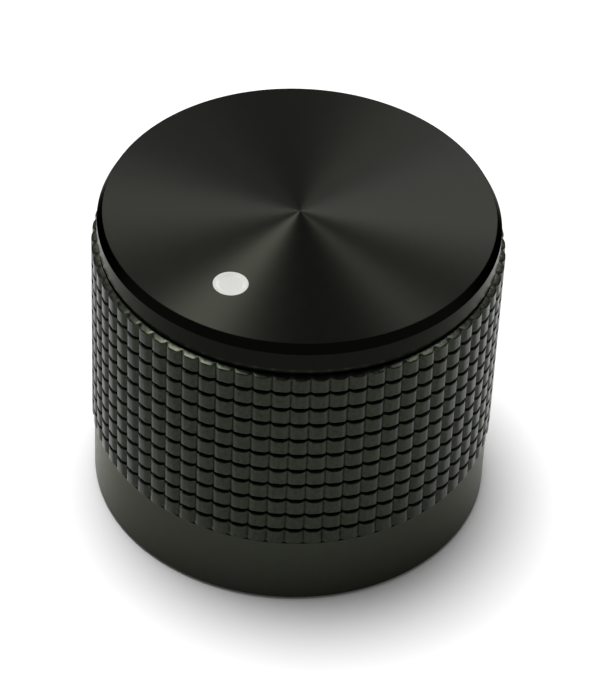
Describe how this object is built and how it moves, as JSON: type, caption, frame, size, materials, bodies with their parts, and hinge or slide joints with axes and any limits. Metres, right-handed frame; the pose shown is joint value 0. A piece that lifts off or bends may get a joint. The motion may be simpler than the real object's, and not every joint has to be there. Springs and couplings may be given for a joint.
{
  "type": "control knob",
  "caption": "Round control knob with a spun flat face, a white pointer dot, a cross-cut knurled grip, a plain skirt and a blind shaft bore with a set screw.",
  "frame": {"origin": "on the shaft's axis at the bottom rim of the knob", "axes": "+Z along the shaft's axis, up through the face; -Y towards the white dot; the set screw faces +Y"},
  "size_m": [0.019, 0.019, 0.0158],
  "materials": {
    "black_anodised_aluminium": "black anodised: spun face, turned ring and skirt, cut knurl",
    "white_enamel": "satin white enamel fill",
    "black_oxide_steel": "black oxide, lightly oiled"
  },
  "bodies": {
    "root": {"knob_body": "black_anodised_aluminium", "indicator_dot": "white_enamel", "set_screw": "black_oxide_steel"}
  },
  "joints": []
}
